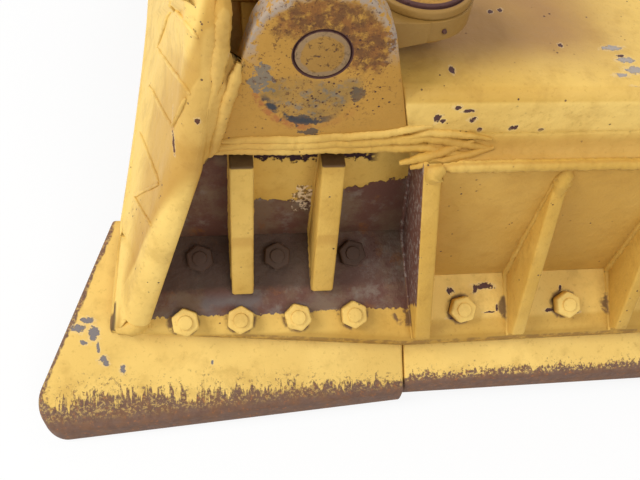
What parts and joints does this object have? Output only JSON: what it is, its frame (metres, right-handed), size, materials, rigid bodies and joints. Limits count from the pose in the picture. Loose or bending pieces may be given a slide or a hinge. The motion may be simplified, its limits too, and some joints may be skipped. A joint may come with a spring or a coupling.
{
  "type": "bulldozer blade",
  "caption": "Straight bulldozer blade lying on its face: curved moldboard, box beam with ribs, bolted cutting edge and end bits, and swinging knuckles on the corner pins.",
  "frame": {"origin": "on the floor under the middle of the blade as it lies on its face", "axes": "+X along the blade, +Y up the blade from the cutting edge to the top rail, +Z out of the blade's back, which lies uppermost"},
  "size_m": [3.4378, 1.1851, 0.7036],
  "materials": {
    "paint_yellow": "thick weathered paint",
    "paint_base": "chipped paint with rust",
    "paint_ear": "rusted and scorched paint",
    "paint_edge": "paint worn through at the edge",
    "bare_steel": "bare rusty steel",
    "pin_steel": "chipped paint on steel"
  },
  "bodies": {
    "blade": {"moldboard": "paint_yellow", "base_edge": "paint_base", "box_beam": "paint_yellow", "box_floor": "paint_base", "edge_ribs": "paint_base", "cutting_edge_left": "paint_edge", "cutting_edge_right": "paint_edge", "top_rail": "paint_yellow", "back_ribs": "paint_yellow", "recess_wall_left": "bare_steel", "divider_rib_left": "paint_base", "corner_gussets_left": "paint_base", "end_cheek_left": "paint_yellow", "ear_outer_left": "paint_ear", "ear_inner_left": "paint_ear", "corner_pin_left": "pin_steel", "end_bit_left": "paint_edge", "lift_lugs_left": "paint_yellow", "brace_lugs_left": "paint_yellow", "recess_wall_right": "bare_steel", "divider_rib_right": "paint_base", "corner_gussets_right": "paint_base", "end_cheek_right": "paint_yellow", "ear_outer_right": "paint_ear", "ear_inner_right": "paint_ear", "corner_pin_right": "pin_steel", "end_bit_right": "paint_edge", "lift_lugs_right": "paint_yellow", "brace_lugs_right": "paint_yellow"},
    "knuckle_left": {"knuckle_left": "paint_yellow", "knuckle_collar_left": "paint_yellow", "knuckle_pin_left": "pin_steel"},
    "knuckle_right": {"knuckle_right": "paint_yellow", "knuckle_collar_right": "paint_yellow", "knuckle_pin_right": "pin_steel"}
  },
  "joints": [
    {"name": "knuckle_left_swing", "type": "hinge", "parent": "blade", "child": "knuckle_left", "pos_m": [-1.366, -0.33905, 0.53262], "axis": [0, -1, 0], "range_deg": [0, 100]},
    {"name": "knuckle_right_swing", "type": "hinge", "parent": "blade", "child": "knuckle_right", "pos_m": [1.366, -0.33905, 0.53262], "axis": [0, 1, 0], "range_deg": [0, 100]}
  ]
}
